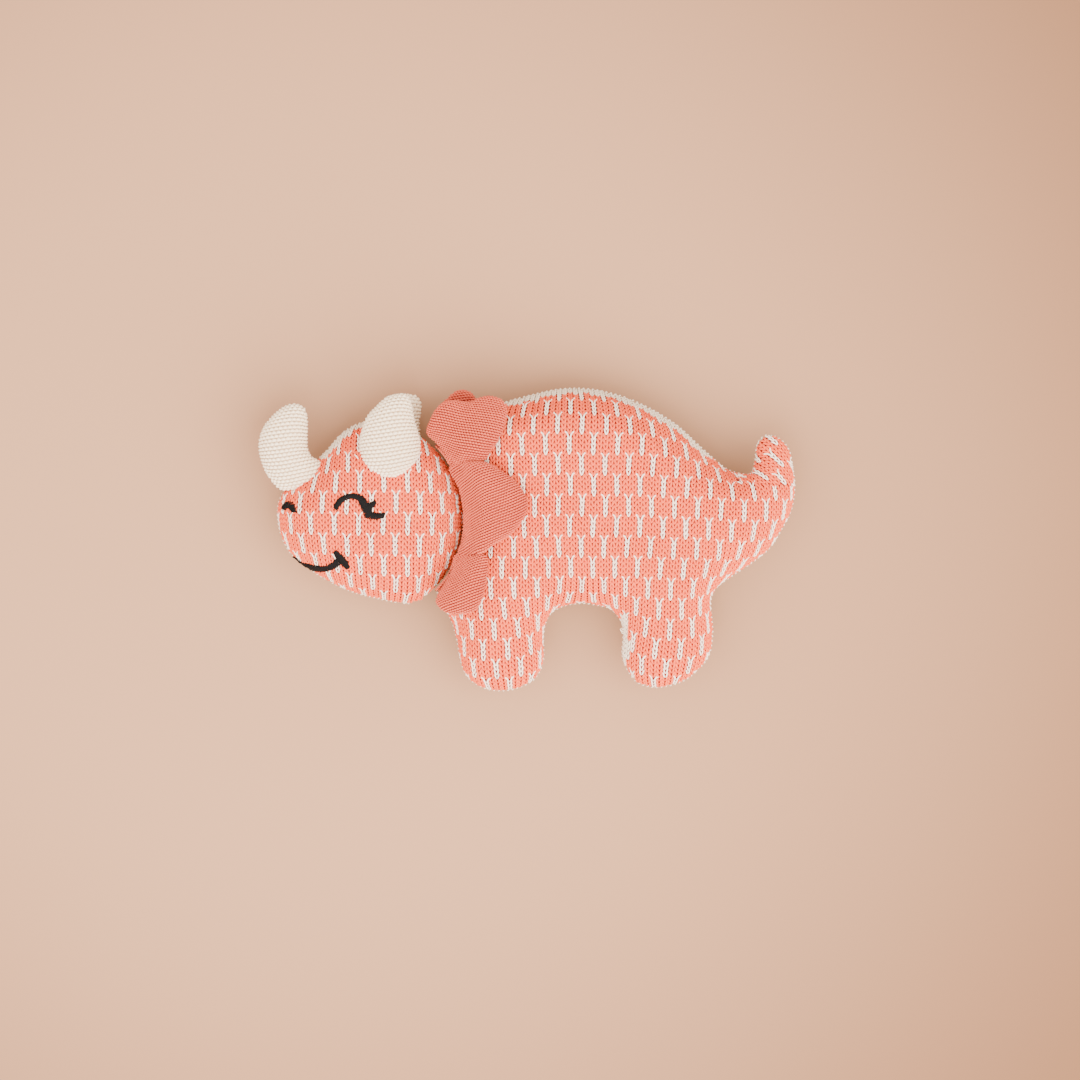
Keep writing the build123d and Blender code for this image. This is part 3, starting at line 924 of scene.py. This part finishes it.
def satin(name, sheet, lines, nodes):
    """Threads laid across lines given as (x, y, width)."""
    shapes = []
    for line in lines:
        run = open_curve(line, THREAD_PITCH)
        ahead = np.gradient(run[:, :2], axis=0)
        ahead /= np.linalg.norm(ahead, axis=1)[:, None]
        for (x, y, width), (ax, ay) in zip(run, ahead):
            lean = 0.30 + CHANCE.normal(0, 0.05)
            c, s = math.cos(lean), math.sin(lean)
            across = np.array([-ay * c + ax * s, ax * c + ay * s])
            half = width / 2 * (1 + CHANCE.normal(0, 0.035))
            t = np.array([-1.0, -0.7, 0.0, 0.7, 1.0])
            spots = np.array([x, y]) + across * (t * half)[:, None]
            place, normal, _ = look_up(sheet, spots)
            height = np.array([0.6, 1.55, 1.85, 1.55, 0.6]) + CHANCE.normal(0, 0.04)
            shapes.append(tube(place + normal * height[:, None], (0.18, 0.27, 0.29, 0.27, 0.18), 6))
    verts, quads, yarn = joined(*shapes)
    piece = build(name, verts, quads, [THREAD], None, yarn)
    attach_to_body(piece, "head")
    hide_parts(*nodes)
    print(name, len(shapes), "threads")


face = head["front_plan"]
satin("near_eye_thread", face, [[(-106.2, 16.6, 2.8), (-105.2, 19.0, 3.4), (-102.6, 22.0, 3.4), (-98, 23.7, 3.2),
                                 (-93.7, 23.1, 3.8), (-91.0, 20.6, 5.0), (-89.4, 17.2, 5.8), (-87.8, 13.8, 5.0)]],
      ["near_eye"])
satin("near_eye_lash_threads", face, [[(-89.0, 17.0, 4.2), (-86.6, 18.4, 3.8), (-84.0, 20.4, 2.0)],
                                      [(-89.0, 13.6, 4.6), (-84.6, 12.6, 4.2), (-80.8, 12.9, 3.6),
                                       (-79.2, 13.0, 3.4)]],
      ["near_eye_lashes"])
satin("far_eye_thread", face, [[(-135.4, 16.8, 2.2), (-134.2, 18.4, 3.4), (-132.2, 19.0, 4.2), (-130.4, 17.4, 4.2),
                                (-129.2, 14.8, 2.8)]], ["far_eye"])
satin("mouth_thread", face, [[(-130.2, -9.6, 1.0), (-127.4, -12.1, 2.2), (-122.4, -14.6, 3.2), (-116.5, -15.9, 3.5),
                              (-111.5, -15.8, 3.6), (-107.3, -14.2, 4.2), (-104.6, -12.0, 4.6)],
                             [(-106.4, -6.6, 2.2), (-104.6, -9.0, 4.2), (-102.2, -12.0, 4.4), (-99.4, -15.6, 2.6)]],
      ["mouth"])

# %% [markdown]
# ## Seams and loose ends
# Front and back meet in a ladder of small cream stitches that runs round the rim. Each is a short arched tube
# that straddles the seam, so a loop places them all.

# %% Rim stitches
def rim_stitches(name, made, parts, finish_used, pitch=2.6):
    """Short plump stitches that straddle the seam."""
    skin = made["skin"][:len(made["rim"])][made["rim"]]
    normal = point_normals(made["skin"], made["closed"])[:len(made["rim"])][made["rim"]]
    run = smooth_loop([tuple(p) for p in skin[:, :2]], pitch)
    near = np.array([np.argmin(((skin[:, :2] - q) ** 2).sum(1)) for q in run])
    place, normal = skin[near], normal[near]
    ahead = np.roll(run, -1, 0) - np.roll(run, 1, 0)
    ahead = np.column_stack([ahead, np.zeros(len(run))]) / np.linalg.norm(ahead, axis=1)[:, None]
    far = np.array([from_neck(*q) for q in run])
    clear = ~((np.abs(far[:, 0] - 57) < 3.4) & (np.abs(far[:, 1]) < math.radians(64)))
    place, normal, ahead = place[clear], normal[clear], ahead[clear]
    owner = parts(place) if callable(parts) else np.full(len(place), parts)
    for part in sorted(set(owner)):
        shapes = []
        for p, n, a in zip(place[owner == part], normal[owner == part], ahead[owner == part]):
            up = np.array([0, 0, 1.0])
            path = [p + n * h + a * s + up * z for h, s, z in
                    ((0.1, -0.7, -1.5), (0.8, -0.3, -0.7), (1.05, 0, 0), (0.8, 0.3, 0.7), (0.1, 0.7, 1.5))]
            shapes.append(tube(path, (0.25, 0.42, 0.46, 0.42, 0.25), 5))
        verts, quads, yarn = joined(*shapes)
        piece = build(f"{name}_{part}", verts, quads, [finish_used], None, yarn)
        attach(piece, str(part))


rim_stitches("body_seam", body, body_parts, CREAM)
rim_stitches("head_seam", head, "head", CREAM)

# %% [markdown]
# ## The closing knot
# The stuffing goes in through a gap on the inside of the hind leg, and a knot holds the gap shut. A trefoil
# formula gives one round thread that passes over and under itself like a real knot.

# %% Closing knot
turns = np.linspace(0, 2 * math.pi, 60)
knot = np.stack([0.55 * (np.sin(turns) + 2 * np.sin(2 * turns)), 0.55 * (np.cos(turns) - 2 * np.cos(2 * turns)),
                 -0.6 * np.sin(3 * turns)], 1)
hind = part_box("closing_knot")
middle_of_knot = np.array([(a + b) / 2 for a, b in zip(hind[0], hind[1])]) / MM
verts, quads, yarn = tube(knot + middle_of_knot + np.array([1.0, 0, 0]), np.full(60, 0.42), 6)
piece = build("closing_knot_thread", verts, quads, [CREAM], None, yarn)
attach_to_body(piece, "hind_leg")
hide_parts("closing_knot")

# %% [markdown]
# ## A loose end
# One white yarn end slips out by the brow horn. Four points on the face and a thin tube are enough.

# %% Loose end
place, normal, _ = look_up(face, np.array([(-95.6, 46.6), (-95.0, 45.8), (-94.2, 45.0), (-93.4, 44.0)]))
verts, quads, yarn = tube(place + normal * np.array([[1.0], [2.1], [2.5], [1.9]]), (0.3, 0.4, 0.4, 0.3), 6)
piece = build("loose_white_end", verts, quads, [WHITE], None, yarn)
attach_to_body(piece, "head")

# %% [markdown]
# ## Stage, light and camera
# The toy lies flat on a pale floor whose colour is painted lighter round a point by the head and darker farther
# out, a painted pool of light. A large soft key comes from low on the right, and a long lens looks straight down.

# %% Stage
# Floor colours: painted light near a point by the head, painted shade farther out.
FLOOR_PAINTED_LIGHT, FLOOR_PAINTED_SHADE = (170, 128, 98), (116, 80, 56)
floor_mesh = bpy.data.meshes.new("floor")
floor_mesh.from_pydata([(-6, -6, 0), (6, -6, 0), (6, 6, 0), (-6, 6, 0)], [], [(0, 1, 2, 3)])
floor = bpy.data.objects.new("floor", floor_mesh)
bpy.context.scene.collection.objects.link(floor)
paper = bpy.data.materials.new("floor paper")
paper.use_nodes = True
nodes, links = paper.node_tree.nodes, paper.node_tree.links
nodes["Principled BSDF"].inputs["Roughness"].default_value = 0.9
nodes["Principled BSDF"].inputs["Specular IOR Level"].default_value = 0.1
place = nodes.new("ShaderNodeTexCoord")
away = nodes.new("ShaderNodeVectorMath")
away.operation = "DISTANCE"
away.inputs[1].default_value = (-0.14, 0.04, 0)
painted_falloff = nodes.new("ShaderNodeMapRange")
painted_falloff.interpolation_type = "SMOOTHSTEP"
painted_falloff.inputs["From Min"].default_value, painted_falloff.inputs["From Max"].default_value = 0.16, 0.66
tint = nodes.new("ShaderNodeMix")
tint.data_type = "RGBA"
tint.inputs["A"].default_value, tint.inputs["B"].default_value = linear(FLOOR_PAINTED_LIGHT), linear(FLOOR_PAINTED_SHADE)
links.new(place.outputs["Object"], away.inputs[0])
links.new(away.outputs["Value"], painted_falloff.inputs["Value"])
links.new(painted_falloff.outputs[0], tint.inputs["Factor"])
links.new(tint.outputs["Result"], nodes["Principled BSDF"].inputs["Base Color"])
floor_mesh.materials.append(paper)


def softbox(name, place, aim, size, power, colour):
    """A square light that faces a point."""
    lamp = bpy.data.lights.new(name, "AREA")
    lamp.size, lamp.energy, lamp.color = size, power, colour
    made = bpy.data.objects.new(name, lamp)
    made.location = place
    made.rotation_euler = (Vector(aim) - Vector(place)).to_track_quat("-Z", "Y").to_euler()
    bpy.context.scene.collection.objects.link(made)
    return made


softbox("key", (0.6, -0.7, 1.3), (0, 0, 0.03), 2.0, 96, (1.0, 0.97, 0.93))
softbox("fill", (-0.7, -0.5, 1.4), (0, 0, 0.03), 1.6, 28, (1.0, 0.97, 0.95))
world = bpy.data.worlds.new("soft room")
world.use_nodes = True
world.node_tree.nodes["Background"].inputs["Color"].default_value = linear((250, 240, 232))
world.node_tree.nodes["Background"].inputs["Strength"].default_value = 2.6
bpy.context.scene.world = world

lens = bpy.data.cameras.new("camera")
lens.sensor_width, lens.lens = 36, 36 * 2.46 / 0.603
camera = bpy.data.objects.new("camera", lens)
camera.location = (0.0073, -0.0006, 2.5)
bpy.context.scene.collection.objects.link(camera)
bpy.context.scene.camera = camera
